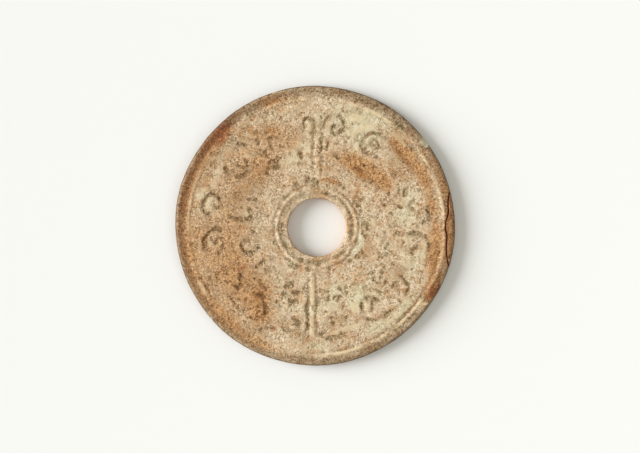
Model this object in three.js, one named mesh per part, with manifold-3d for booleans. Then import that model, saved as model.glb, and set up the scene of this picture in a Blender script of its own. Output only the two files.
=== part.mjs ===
// Jade bi disc: a flat ring of pale weathered jade with an off-centre hole, raised border lines and
// a carved cloud-scroll field in four quarters. It is one solid, lying on its plainer face.
//
// Millimetres, +Z up. The origin is under the middle of the disc, on the surface that it lies on.
// The carved face is up. Directions round the disc are clock angles: degrees clockwise from +Y,
// seen from above, so +X is at 90.

import * as THREE from "three";
import { mergeVertices } from "three/addons/utils/BufferGeometryUtils.js";
import Module from "manifold-3d";

const wasm = await Module();
wasm.setup();

// Disc
const outerRadius = 50;
const thickness = 5; // from the underside to the crests of the raised lines
const fieldLevel = 4.8; // the carved ground between the borders
const grooveFloor = 4.4; // the bottom of the sunk line beside each raised border line
const discSegments = 84;

// Hand finishing leaves the outline a little out of round: waves per turn, size and start angle
const outlineWaves = [
  { waves: 4, size: 0.09, start: 40 },
  { waves: 6, size: 0.09, start: 205 },
  { waves: 10, size: 0.05, start: 117 },
];
const outlineWaveReach = 10; // how far in from the edge the waves die out

// Outer border, in radii from the middle of the disc
const fieldOuterRadius = 44.05;
const outerGroove = { inner: 44.35, outer: 44.85 };
const outerLine = { inner: 45.3, outer: 46.15 };
const rimStart = 46.4;
const rimLevel = 4.72;
// The worn rounding of the edge, as [inset from the outer radius, height]
const edgeBelow = [[1.7, 0], [0.6, 0.5], [0, 1.4]];
const edgeAbove = [[0, 3.2], [0.45, 4.05], [1.3, 4.45]];

// Hole and inner border, in radii from the middle of the hole
const holeCentre = new THREE.Vector2(0.64, -0.64);
const holeRadius = 10.45;
const holeEase = 0.5; // the worn slope on the hole's two edges
const holeSegments = 56;
const innerBandOuter = 13.35;
const innerBandLevel = 4.6;
const innerLine = { inner: 13.7, outer: 14.5 };
const innerGrooveInner = 14.8;
const innerGrooveOuter = 15.4;
const fieldInnerRadius = 15.75;
const borderSeat = 3.9; // the inner border is joined to the disc from this height up

const clear = 1; // how far a cutter reaches past a face that it cuts through

// Carved strokes
const strokeWidth = 1.15; // across the top of a V-shaped stroke
const strokeDepth = 0.42;
const strokeStep = 1.4; // spacing of the stations along a stroke
const strokeOverrun = 0.1; // how far a cutter stands above the face that it cuts
const strokeEndShare = 0.3; // a stroke's width and depth where it runs out, as a share of the full
const widestTurn = 40; // the most degrees of a spiral between two stations

// The four raised bars that quarter the field: clock angle of the quarter and sideways shift
const bars = [
  { clock: 0, shift: 1.25 },
  { clock: 90, shift: 1.5 },
  { clock: 180, shift: 0.85 },
  { clock: 270, shift: 0.45 },
];
const barInner = 16;
const barOuter = 39.6;
const barTopWidth = 1.2;
const barFootWidth = 1.9;
const barFlank = 1.5; // from a bar's middle line to the sunk stroke along each side of it
const barFlankStart = 1; // the flanking strokes start this far outside the bar's inner end

// Scrolls. Each is a spiral stroke about a middle at a clock angle and a radius, from its outer
// size to its eye. It starts on the bearing "from" and turns clockwise for positive "turn".
const outerScrolls = [
  { clock: 12, radius: 36.7, size: 4.5, eye: 1.2, from: 250, turn: 430 },
  { clock: 357, radius: 35.4, size: 2.5, eye: 1.5, from: 100, turn: -290 },
  { clock: 80, radius: 38.1, size: 4.3, eye: 1.2, from: 150, turn: -430 },
  { clock: 102, radius: 37.1, size: 5.4, eye: 1.2, from: 330, turn: 430 },
  { clock: 169, radius: 36, size: 3.8, eye: 1.1, from: 290, turn: 400 },
  { clock: 192.5, radius: 36.2, size: 3.5, eye: 1.1, from: 70, turn: -400 },
  { clock: 261.5, radius: 36.4, size: 4.7, eye: 1.2, from: 40, turn: -480 },
  { clock: 281.5, radius: 37.3, size: 4.3, eye: 1.2, from: 220, turn: 400 },
];
const innerScrolls = [
  { clock: 14.5, radius: 25.8, size: 3.9, eye: 3.6, from: 260, turn: 200 },
  { clock: 352, radius: 25.2, size: 2.2, eye: 2, from: 90, turn: -240 },
  { clock: 78.5, radius: 24.4, size: 3.2, eye: 2.9, from: 300, turn: 200 },
  { clock: 109.5, radius: 26.4, size: 2.9, eye: 1.8, from: 320, turn: 280 },
  { clock: 164, radius: 25.5, size: 2.9, eye: 1.1, from: 270, turn: 380 },
  { clock: 200, radius: 25.7, size: 3.1, eye: 1.1, from: 235, turn: 360 },
  { clock: 253, radius: 23.8, size: 2.8, eye: 1.1, from: 85, turn: 360 },
  { clock: 286, radius: 24.1, size: 3, eye: 1.1, from: 200, turn: 380 },
];
const cornerScrolls = [
  { clock: 35.5, radius: 35.6, size: 4.3, eye: 1.2, from: 40, turn: -430 },
  { clock: 145, radius: 36.2, size: 5.5, eye: 1.2, from: 75, turn: 460 },
  { clock: 216.5, radius: 36.7, size: 4.3, eye: 1.5, from: 100, turn: 330 },
  { clock: 308, radius: 34.1, size: 5.2, eye: 1.3, from: 280, turn: -450 },
];

// Strokes that tie the scrolls together, as clock angle and radius of the points they pass
const ties = [
  [[39, 40.3], [45, 40], [51, 40.1], [56, 40.6], [60, 40.2]],
  [[24, 27.8], [27, 29.7], [32, 29.3], [39, 27.1], [50, 26.1], [61, 27]],
  [[104, 43], [108, 43.4], [112, 43.2], [116, 42.8]],
  [[121, 37.1], [122.5, 39.1], [125, 40.4], [128.5, 40.9], [132, 40.4]],
  [[123.5, 25], [128, 26.8], [132.5, 28.7]],
  [[234, 23], [234, 25.4], [229.5, 27.8], [223.5, 28.7], [217.5, 31]],
  [[209, 31.5], [207.5, 34.5], [206.5, 37.5], [209, 40], [214, 41.6], [219, 41.6]],
  [[245, 29], [238, 31.3], [232, 33.4], [230.5, 35.6], [233.5, 37]],
  [[320.5, 38.6], [316.5, 40.6], [309, 41], [299.5, 40], [291.5, 38.2]],
  [[325, 36.1], [328.5, 37.2], [332, 36], [332.5, 33.4], [329.5, 31.1]],
  [[324.5, 28.9], [326, 26.2], [325, 23.5]],
  [[123.5, 35.4], [127, 37], [130.5, 36]],
  [[117, 31.6], [122, 31.4], [126, 29.2]],
  [[66, 33.2], [69.5, 36], [73, 38.6]],
  [[248.5, 40], [243, 40.6], [237.5, 40.2]],
  [[297, 29.5], [300.5, 27.5], [299, 24.5]],
  [[340, 31], [343.5, 33], [343, 36]],
];

// Damage: an old crack frees a sunken crescent of the rim, and the edge has one small chip
const crackRoute = [
  [76.5, 49.4], [81, 48.2], [86, 47.6], [89.5, 46.9], [95, 47.4], [100, 47.7], [105, 48.9], [107.5, 49.9],
];
const crackWidth = 0.7;
const crackDepth = 1.1;
const crescentLevel = 4.15;
const crescentSteps = 4; // straight sides of the cutter that clears the crescent, outside the edge
const chip = { clock: 51.5, radius: 50.4, level: 5.7, size: 1.9 };

// Underside: a plain flat face with one shallow sunk line inside each edge
const undersideLines = [
  { centre: new THREE.Vector2(0, 0), radius: 44.6, segments: 60 },
  { centre: holeCentre, radius: 15.2, segments: 40 },
];
const undersideLineWidth = 0.9;
const undersideLineDepth = 0.3;

// A closed three.js geometry as a solid: shared vertices are merged and empty triangles dropped.
function solid(geometry) {
  const bare = geometry.index ? geometry.toNonIndexed() : geometry.clone();
  bare.deleteAttribute("normal");
  bare.deleteAttribute("uv");
  const merged = mergeVertices(bare, 1e-4);
  const corners = merged.index.array;
  const kept = [];
  for (let i = 0; i < corners.length; i += 3) {
    const [a, b, c] = corners.slice(i, i + 3);
    if (a !== b && b !== c && c !== a) kept.push(a, b, c);
  }
  return new wasm.Manifold(
    new wasm.Mesh({
      numProp: 3,
      vertProperties: merged.attributes.position.array,
      triVerts: new Uint32Array(kept),
    }),
  );
}

// A solid as a three.js geometry.
function geometryOf(made) {
  const mesh = made.getMesh();
  const geometry = new THREE.BufferGeometry();
  geometry.setAttribute("position", new THREE.BufferAttribute(mesh.vertProperties, 3));
  geometry.setIndex(new THREE.BufferAttribute(mesh.triVerts, 1));
  const faceted = geometry.toNonIndexed();
  faceted.computeVertexNormals();
  return faceted;
}

// The point at a clock angle and a radius from the middle of the disc.
function at(clock, radius) {
  const angle = THREE.MathUtils.degToRad(clock);
  return new THREE.Vector2(radius * Math.sin(angle), radius * Math.cos(angle));
}

// A turned form about a vertical axis through a centre, from [radius, height] pairs.
function turned(profile, segments, centre = new THREE.Vector2(0, 0)) {
  const points = profile.map(([radius, height]) => new THREE.Vector2(radius, height));
  const geometry = new THREE.LatheGeometry(points, segments);
  geometry.rotateX(Math.PI / 2);
  geometry.translate(centre.x, centre.y, 0);
  return geometry;
}

// How far the outline stands out or in at a clock angle.
function outlineWave(clock) {
  return outlineWaves.reduce(
    (sum, w) => sum + w.size * Math.sin(THREE.MathUtils.degToRad(w.waves * clock + w.start)),
    0,
  );
}

// The disc's body before it is carved: underside, edge, sloping rim, border line and field.
function discBody() {
  const fromEdge = ([inset, height]) => [outerRadius - inset, height];
  const profile = [
    [0, 0],
    ...edgeBelow.map(fromEdge),
    ...edgeAbove.map(fromEdge),
    [rimStart, rimLevel],
    [outerLine.outer, thickness],
    [outerLine.inner, thickness],
    [outerGroove.outer, grooveFloor],
    [outerGroove.inner, grooveFloor],
    [fieldOuterRadius, fieldLevel],
    [0, fieldLevel],
  ];
  const geometry = turned(profile, discSegments);
  const position = geometry.attributes.position;
  const waveStart = outerRadius - outlineWaveReach;
  for (let i = 0; i < position.count; i += 1) {
    const x = position.getX(i);
    const y = position.getY(i);
    const radius = Math.hypot(x, y);
    const share = THREE.MathUtils.smoothstep(radius, waveStart, outerRadius);
    const clock = THREE.MathUtils.radToDeg(Math.atan2(x, y));
    const scale = radius > 0 ? 1 + (share * outlineWave(clock)) / radius : 1;
    position.setXY(i, x * scale, y * scale);
  }
  return solid(geometry);
}

// The space cleared for the inner border, down to the floor of its sunk line.
function innerBorderRecess() {
  const profile = [
    [0, grooveFloor],
    [innerGrooveOuter, grooveFloor],
    [fieldInnerRadius, fieldLevel],
    [fieldInnerRadius, thickness + clear],
    [0, thickness + clear],
  ];
  return solid(turned(profile, holeSegments, holeCentre));
}

// The inner border: a low band round the hole and the raised line outside it.
function innerBorder() {
  const inside = holeRadius - clear;
  const profile = [
    [inside, borderSeat],
    [innerGrooveInner, borderSeat],
    [innerGrooveInner, grooveFloor],
    [innerLine.outer, thickness],
    [innerLine.inner, thickness],
    [innerBandOuter, innerBandLevel],
    [inside, innerBandLevel],
    [inside, borderSeat],
  ];
  return solid(turned(profile, holeSegments, holeCentre));
}

// The hole, bored right through, with a worn slope of 45 degrees at both edges.
function hole() {
  const wide = holeRadius + holeEase + clear;
  const profile = [
    [0, -clear],
    [wide, -clear],
    [holeRadius, holeEase],
    [holeRadius, innerBandLevel - holeEase],
    [wide, innerBandLevel + clear],
    [0, innerBandLevel + clear],
  ];
  return solid(turned(profile, holeSegments, holeCentre));
}

// A V-shaped cutter along a path of THREE.Vector2 points. Its ends run out shallow and narrow.
function vCutter(path, width, depth, level) {
  const top = level + strokeOverrun;
  const last = path.length - 1;
  const positions = [];
  path.forEach((point, i) => {
    const before = path[Math.max(i - 1, 0)];
    const after = path[Math.min(i + 1, last)];
    const side = after.clone().sub(before).normalize();
    side.set(-side.y, side.x);
    const share = i === 0 || i === last ? strokeEndShare : 1;
    const half = (width / 2) * share * (1 + strokeOverrun / (depth * share));
    positions.push(point.x + side.x * half, point.y + side.y * half, top);
    positions.push(point.x - side.x * half, point.y - side.y * half, top);
    positions.push(point.x, point.y, level - depth * share);
  });
  const index = [0, 2, 1];
  for (let i = 0; i < last; i += 1) {
    for (let j = 0; j < 3; j += 1) {
      const a = i * 3 + j;
      const b = i * 3 + ((j + 1) % 3);
      index.push(a, b, a + 3, b, b + 3, a + 3);
    }
  }
  const end = last * 3;
  index.push(end, end + 1, end + 2);
  const geometry = new THREE.BufferGeometry();
  geometry.setAttribute("position", new THREE.Float32BufferAttribute(positions, 3));
  geometry.setIndex(index);
  return solid(geometry);
}

// Evenly spaced stations on a smooth curve through [clock angle, radius] pairs.
function stations(pairs) {
  const curve = new THREE.SplineCurve(pairs.map(([clock, radius]) => at(clock, radius)));
  const steps = Math.max(2, Math.round(curve.getLength() / strokeStep));
  return curve.getSpacedPoints(steps);
}

// A spiral stroke, with closer stations where it winds tight.
function scroll({ clock, radius, size, eye, from, turn }) {
  const middle = at(clock, radius);
  const path = [];
  let share = 0;
  while (share < 1) {
    const reach = THREE.MathUtils.lerp(size, eye, share);
    path.push(at(from + turn * share, reach).add(middle));
    const step = THREE.MathUtils.radToDeg(strokeStep / reach);
    share += Math.min(step, widestTurn) / Math.abs(turn);
  }
  path.push(at(from + turn, eye).add(middle));
  return vCutter(path, strokeWidth, strokeDepth, fieldLevel);
}

// One raised bar, along its quarter line and shifted clockwise of it.
function bar({ clock, shift }) {
  const foot = grooveFloor;
  const section = new THREE.Shape();
  section.moveTo(-barFootWidth / 2, foot);
  section.lineTo(barFootWidth / 2, foot);
  section.lineTo(barTopWidth / 2, thickness);
  section.lineTo(-barTopWidth / 2, thickness);
  section.closePath();
  const length = barOuter - barInner;
  const geometry = new THREE.ExtrudeGeometry(section, { depth: length, bevelEnabled: false });
  geometry.rotateX(Math.PI / 2);
  geometry.translate(shift, barOuter, 0);
  geometry.rotateZ(-THREE.MathUtils.degToRad(clock));
  return solid(geometry);
}

// The two straight strokes that flank a bar.
function barFlanks({ clock, shift }) {
  const turn = -THREE.MathUtils.degToRad(clock);
  const origin = new THREE.Vector2(0, 0);
  return [-1, 1].map((side) => {
    const x = shift + side * barFlank;
    const middle = (barInner + barOuter) / 2;
    const path = [barInner + barFlankStart, middle, barOuter].map((y) =>
      new THREE.Vector2(x, y).rotateAround(origin, turn),
    );
    return vCutter(path, strokeWidth, strokeDepth, fieldLevel);
  });
}

// The sunken crescent outside the crack.
function crescent() {
  const inner = stations(crackRoute);
  const first = crackRoute[0][0];
  const lastClock = crackRoute[crackRoute.length - 1][0];
  const shape = new THREE.Shape(inner);
  for (let i = crescentSteps; i >= 0; i -= 1) {
    const clock = THREE.MathUtils.lerp(first, lastClock, i / crescentSteps);
    const point = at(clock, outerRadius + clear * 2);
    shape.lineTo(point.x, point.y);
  }
  shape.closePath();
  const geometry = new THREE.ExtrudeGeometry(shape, { depth: clear * 2, bevelEnabled: false });
  geometry.translate(0, 0, crescentLevel);
  return solid(geometry);
}

// The scoop of the chip in the top edge.
function chipScoop() {
  const centre = at(chip.clock, chip.radius);
  const geometry = new THREE.SphereGeometry(chip.size, 10, 8);
  geometry.translate(centre.x, centre.y, chip.level);
  return solid(geometry);
}

// A shallow V-shaped ring cut up into the underside.
function undersideLine({ centre, radius, segments }) {
  const half = (undersideLineWidth / 2) * (1 + clear / undersideLineDepth);
  const profile = [
    [radius - half, -clear],
    [radius + half, -clear],
    [radius, undersideLineDepth],
    [radius - half, -clear],
  ];
  return solid(turned(profile, segments, centre));
}

function joinAll(start, pieces) {
  return pieces.reduce((made, piece) => made.add(piece), start);
}

function cutAll(start, pieces) {
  return pieces.reduce((made, piece) => made.subtract(piece), start);
}

function biDisc() {
  const carved = cutAll(discBody(), [
    ...bars.flatMap(barFlanks),
    ...[...outerScrolls, ...innerScrolls, ...cornerScrolls].map(scroll),
    ...ties.map((pairs) => vCutter(stations(pairs), strokeWidth, strokeDepth, fieldLevel)),
  ]);
  const barred = joinAll(carved, bars.map(bar));
  const bordered = barred.subtract(innerBorderRecess()).add(innerBorder());
  const crack = vCutter(stations(crackRoute), crackWidth, crackDepth, rimLevel);
  return cutAll(bordered, [
    hole(),
    crescent(),
    crack,
    chipScoop(),
    ...undersideLines.map(undersideLine),
  ]);
}

const jade = new THREE.MeshStandardMaterial({ color: 0xc3a882, roughness: 0.55, metalness: 0 });
const disc = new THREE.Mesh(geometryOf(biDisc()), jade);
disc.name = "bi_disc";

const part = new THREE.Group();
part.add(disc);

export default part;
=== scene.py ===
"""The looks of the jade bi disc: weathered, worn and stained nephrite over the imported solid."""

import math

import bpy
import numpy as np
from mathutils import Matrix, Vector


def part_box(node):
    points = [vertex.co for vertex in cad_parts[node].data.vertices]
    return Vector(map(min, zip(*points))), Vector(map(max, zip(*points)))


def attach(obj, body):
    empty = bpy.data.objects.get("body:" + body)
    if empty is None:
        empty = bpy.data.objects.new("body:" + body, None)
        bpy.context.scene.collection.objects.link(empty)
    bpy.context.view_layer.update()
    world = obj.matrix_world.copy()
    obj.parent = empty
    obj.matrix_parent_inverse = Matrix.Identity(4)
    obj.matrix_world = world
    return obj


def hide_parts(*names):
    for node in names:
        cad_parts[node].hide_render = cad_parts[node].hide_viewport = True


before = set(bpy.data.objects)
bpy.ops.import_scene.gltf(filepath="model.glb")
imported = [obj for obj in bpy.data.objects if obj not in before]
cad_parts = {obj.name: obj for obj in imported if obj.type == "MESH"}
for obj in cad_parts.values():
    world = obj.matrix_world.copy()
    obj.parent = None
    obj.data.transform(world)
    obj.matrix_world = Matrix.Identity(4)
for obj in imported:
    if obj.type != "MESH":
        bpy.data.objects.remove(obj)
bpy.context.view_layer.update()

MM = 0.001
DISC_NODE = "bi_disc"
low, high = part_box(DISC_NODE)


# ---- sizes, in millimetres
# The disc's design is worked in millimetres about the middle of its underside. Directions round
# it are clock angles: degrees clockwise from +Y, seen from above.
THICKNESS = (high.z - low.z) / MM
MIDDLE = np.zeros(2)
OUTER_RADIUS = 50.0
FIELD_LEVEL = 4.8
HOLE_CENTRE = np.array([0.64, -0.64])
HOLE_RADIUS = 10.45
HOLE_EASE = 0.5
# The softened lip of the hole, as (distance outside its wall, height above its lower edge)
HOLE_LIP = [(HOLE_EASE, 0.0), (0.22, 0.12), (0.06, 0.3), (0.0, 0.55)]

# Heights across the inner border, as (radius from the middle of the hole, height)
INNER_BORDER = [
    (10.9, 4.52), (12.0, 4.64), (13.3, 4.62), (13.85, 4.9), (14.1, 4.96), (14.4, 4.9), (15.05, 4.6),
    (15.35, 4.6), (15.9, FIELD_LEVEL),
]
# Dirt beside its raised line, as (radius from the middle of the hole, half width, strength)
RING_DIRT = [(15.3, 0.8, 0.5), (12.6, 0.9, 0.8)]
RING_RADIUS, RING_HALF, RING_CREST = 14.2, 0.5, 0.6  # where the line is worn pale

# The outer border is a thin raised line with a groove inside it and a lower rim outside it. It sits
# a little off the outline's centre, as the hole does.
BORDER_CENTRE = np.array([0.5, -0.5])
LINE_RADIUS, LINE_HALF = 45.7, 0.58
GROOVE_RADIUS, GROOVE_HALF, GROOVE_DEPTH = 44.75, 0.42, 0.3
GROOVE_DIRT = 0.7
RIM_START, RIM_LEVEL = 46.1, 4.64
# What wear has left of the outer border, as (clock angle, share of the line, share of the groove)
BORDER_WEAR = [
    (0, 0.5, 0.1), (8, 0.4, 0.1), (15, 0.8, 0.2), (30, 0.85, 0.2), (40, 0.5, 0.1), (50, 0.15, 0.2),
    (56, 0.7, 0.2), (63, 0.7, 0.1), (72, 0.35, 0.1), (78, 0.85, 0.3), (88, 0.6, 0.2), (95, 0.3, 0.1),
    (105, 0.7, 0.3), (112, 0.5, 0.2), (120, 0.25, 0.4), (125, 0.7, 0.7), (132, 0.9, 0.9), (148, 0.6, 0.8),
    (157, 0.1, 0.3), (163, 0.9, 0.7), (172, 1, 0.8), (179, 0.5, 0.5), (192, 0.25, 0.2), (200, 0.05, 0.1),
    (228, 0.05, 0.1), (242, 0.3, 0.7), (249, 0.55, 0.3), (262, 0.5, 0.1), (275, 0.5, 0.2),
    (283, 0.7, 0.2), (289, 0.7, 0.3), (293, 0.25, 0.3), (300, 0.15, 0.2), (306, 0.3, 0.2),
    (312, 0.1, 0.1), (322, 0.3, 0.15), (338, 0.2, 0.1), (352, 0.25, 0.4), (360, 0.5, 0.1),
]
# The worn rounding of the edge, as (inset from the outer radius, height), going down
EDGE = [(1.0, 4.6), (0.6, 4.44), (0.3, 4.14), (0.1, 3.68), (0.0, 3.1), (0.0, 2.3), (0.0, 1.6),
        (0.12, 1.1), (0.4, 0.62), (0.85, 0.28), (1.7, 0.0)]
RIM_STAIN = [(0.42, 1.0), (0.58, 3.6)]  # as (weight, distance over which it sets in)
LOWER_EDGE = 0.3  # the height under which the edge gets neither the rim's stain nor the painted shade of the edge
# The outline's unevenness, as (waves round the disc, height, start angle)
OUTLINE_WAVES = [(4, 0.09, 40), (6, 0.09, 205), (10, 0.05, 117)]
OUTLINE_WAVE_START = 40.0

# Mesh: spacing of the rings and of the points along them
FACE_STEP = 0.33
FACE_RING_STEP = FACE_STEP * 0.93
FACE_START, FACE_END = HOLE_RADIUS + HOLE_EASE + 0.2, OUTER_RADIUS - EDGE[0][0]
EDGE_STEP = 0.42
UNDER_STEP = 1.1
UNDER_END = HOLE_RADIUS + HOLE_EASE + 0.3
UNDER_LINE_STEP, UNDER_LINE_REACH = 0.25, 1.3  # closer rings within a reach of the underside's lines
WALL_RINGS, WALL_GAP = 5, 0.45
FEWEST_POINTS = 96
# Rings are centred on the hole inside, on the outer border further out and on the disc at the edge.
# As (radius, share of the way from the disc's middle to the hole's)
BORDER_SHARE = BORDER_CENTRE[0] / HOLE_CENTRE[0]
RING_CENTRES = [(INNER_BORDER[-1][0] + 0.4, 1.0), (GROOVE_RADIUS - 1.2, BORDER_SHARE),
                (RIM_START + 0.3, BORDER_SHARE), (FACE_END, 0.0)]

# Raised bars: (clock angle of the quarter, sideways shift clockwise of it, share that wear has left)
BARS = [(0, 1.0, 0.6), (90, 1.5, 0.2), (180, 0.9, 0.85), (270, 0.45, 0.3)]
BAR_INNER, BAR_OUTER = 15.6, 39.8
BAR_HALF = 1.0
BAR_FLANK, FLANK_INNER = 1.5, BAR_INNER + 1.2
BAR_CLEARNESS = 0.4

# Strokes, the dirt, the raised shoulders beside them and the painted highlight on those shoulders, pale
# tails and dabs of dirt
STROKE_HALF, STROKE_DEPTH = 0.7, 0.3
FAINTEST = 0.4  # share of the depth that the least clear stroke would have
STAIN_HALF = 1.25
# The shoulders' reach and height, and the strength of the painted highlight on them
SHOULDER_REACH, SHOULDER_HEIGHT, SHOULDER_PAINTED_HIGHLIGHT = 1.45, 0.06, 0.35
UNCARVED = 0.05  # share of the depth under which a place counts as not carved
TAIL_HEIGHT = 0.08
DAB_DEPTH = 0.5  # share of a stroke's depth at the middle of a dab

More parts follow.
